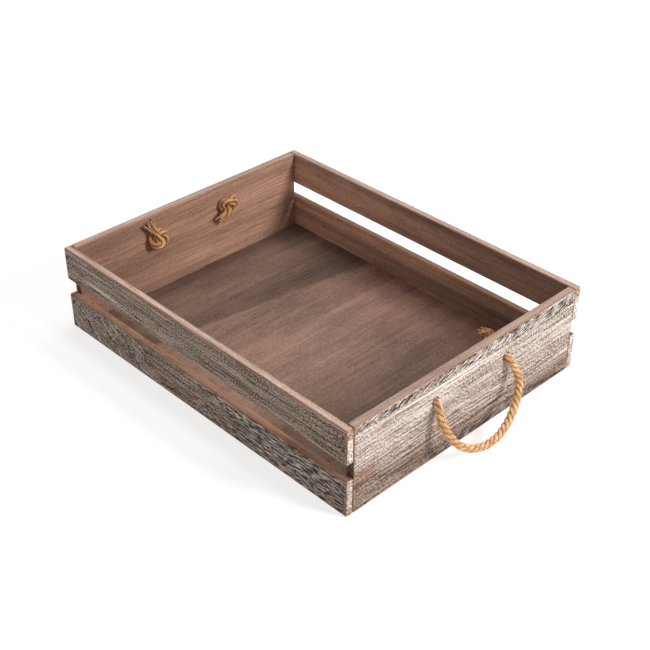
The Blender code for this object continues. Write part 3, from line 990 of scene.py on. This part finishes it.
def tied(turn, way_round, tail_end, over, settle, total):
    """An overhand knot pulled tight against the board: the rope's middle from the hole to the tail."""
    # a loose trefoil, with a straight stem through the hole
    t = np.linspace(-2.25, 2.25, KNOT_POINTS - STEM_POINTS)
    away = (t**5 - 10 * t - t[0] ** 5 + 10 * t[0]) * 0.003 + 0.004
    fade = np.exp(-(((t + 2.25) / 0.12) ** 2))
    one = (t**3 - 3 * t) * 0.0095 * way_round
    two = (t**4 - 4 * t**2) * 0.0095
    one, two = one - one[0] * fade, two - two[0] * fade
    spun = (math.cos(turn) * one - math.sin(turn) * two, math.sin(turn) * one + math.cos(turn) * two)
    stem = np.zeros((STEM_POINTS, 3))
    stem[:, 0] = np.linspace(-0.006, 0.0015, STEM_POINTS)
    loose = np.concatenate([stem[-1:], columns(away, *spun)])
    line = np.concatenate([stem, spaced(loose, len(loose))[1:]])
    # the rope is drawn through to its length, while no two turns come nearer than its thickness
    first = np.linalg.norm(np.diff(line, axis=0), axis=1)
    final = np.full(len(first), total / (KNOT_POINTS - STEM_POINTS))
    final[: STEM_POINTS - 1] = first[: STEM_POINTS - 1]
    i, j = np.triu_indices(KNOT_POINTS, 6)
    end_from = line[-1].copy()
    for step in range(TIE_STEPS):
        share = min(1.0, step / (0.8 * TIE_STEPS))
        rest = first * (final / first) ** share
        goal = end_from + (tail_end - end_from) * min(1.0, share * 1.25)
        line[STEM_POINTS:-1, 0] -= 0.0003
        line[STEM_POINTS:-14] += settle
        if over is not None:
            line[-13:-9] += (over - line[-11]) * 0.3 * share
        apart = rest[-1] * (j - i) > 1.45 * KNOT_ROPE
        near, far = i[apart], j[apart]
        for _ in range(TIE_ROUNDS):
            gap = line[far] - line[near]
            size = np.linalg.norm(gap, axis=1)
            hit = size < KNOT_ROPE
            push = gap[hit] * ((KNOT_ROPE - size[hit]) / np.maximum(size[hit], 1e-9) * 0.35)[:, None]
            np.add.at(line, near[hit], -push)
            np.add.at(line, far[hit], push)
            line[1:-1] += 0.05 * ((line[:-2] + line[2:]) / 2 - line[1:-1])
            for start in (0, 1):
                one, two = line[start:-1:2], line[start + 1 :: 2]
                gap = two - one[: len(two)]
                size = np.linalg.norm(gap, axis=1)
                move = gap * ((size - rest[start::2][: len(two)]) / np.maximum(size, 1e-9) * 0.5)[:, None]
                one[: len(two)] += move
                two -= move
            line[STEM_POINTS + 2 :, 0] = np.maximum(line[STEM_POINTS + 2 :, 0], KNOT_ROPE * 0.51)
            line[:STEM_POINTS] = stem
            line[-1] = goal
    return line


def stopper(end, side, look):
    """One handle's knot inside the board, with the rope in the hole and the frayed tail."""
    place = end + "_" + side
    sign, way = ENDS[end], SIDES[side]
    *tie, brush = TIES[place]
    local = smoothed(tied(*tie), 6)
    local[:, 0] *= np.where(local[:, 0] > 0, KNOT_SIZE, 1)
    local[:, 1:] *= KNOT_SIZE
    local = respaced(local, SPACING)
    across, height = way * HOLE_SPACING / 2 + local[:, 1], HOLE_HEIGHT + local[:, 2]
    line = columns(sign * (INNER_X - local[:, 0]), across, height)
    gone = lengths(line)
    squeeze = rise(0.004, 0.014, gone)
    radius = (1 - HOLE_SQUEEZE) * LAID * (1 - squeeze) + KNOT_RADIUS * KNOT_SIZE * squeeze
    start = int(np.searchsorted(gone, gone[-1] - brush))
    radius = radius + 0.0004 * rise(gone[-1] - 0.02, gone[-1] - 0.011, gone)
    rope = Rope()
    rope.lay(line[: start + 1], radius[: start + 1], KNOT_LAY, KNOT_SHADE)
    rope.fray(line, radius, start, BRUSH_SEED + len("knot_" + place) + 3 * way + sign)
    rope.loose_fibres(line[8:start], radius[8:start], 70, 50 + 3 * way + sign, 0.0035)
    made = rope.build("rope_knot_" + place, look)
    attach(made, "crate")
    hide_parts("knot_" + place)
    return made


def loop_line(sign):
    """The handle's middle line: out of one hole, round, and into the other."""
    inside = []
    for out in (-0.0105, -0.008, -0.0055, -0.003):
        inside.append((-HOLE_SPACING / 2, out, HOLE_HEIGHT - 0.0003 * (out + 0.0105) / 0.0075))
    inside.append((-HOLE_SPACING / 2 - 0.0002, 0.0002, HOLE_HEIGHT - 0.0006))
    outside = [(-across, out, height) for across, out, height in inside]
    route = inside + list(LOOP_ROUTE) + outside[::-1]
    return np.array([(sign * (FACE_X + out), sign * across, height) for across, out, height in route])


def handle(end, look):
    sign = ENDS[end]
    line = smooth_route(loop_line(sign), SPACING)
    radius = LAID * (1 - HOLE_SQUEEZE * rise(0.007, 0.001, np.abs(line[:, 0]) - FACE_X))
    rope = Rope()
    rope.lay(line, radius)
    rope.loose_fibres(line, radius, 420, 7 if sign > 0 else 8)
    made = rope.build("rope_handle_" + end, look)
    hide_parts("rope_loop_" + end)
    return made, line


def main():
    studio()
    camera()
    jute, steel, wood = jute_material(), steel_material(), wood_material()
    for name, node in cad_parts.items():
        if name.startswith(("brad_", "pin_")):
            node.data.materials.clear()
            node.data.materials.append(steel)
    for name in BOARDS:
        board(name, wood)
    sheet(sheet_material())
    for end, sign in ENDS.items():
        made, line = handle(end, jute)
        knots = [stopper(end, side, jute) for side in SIDES]
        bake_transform(made)


main()
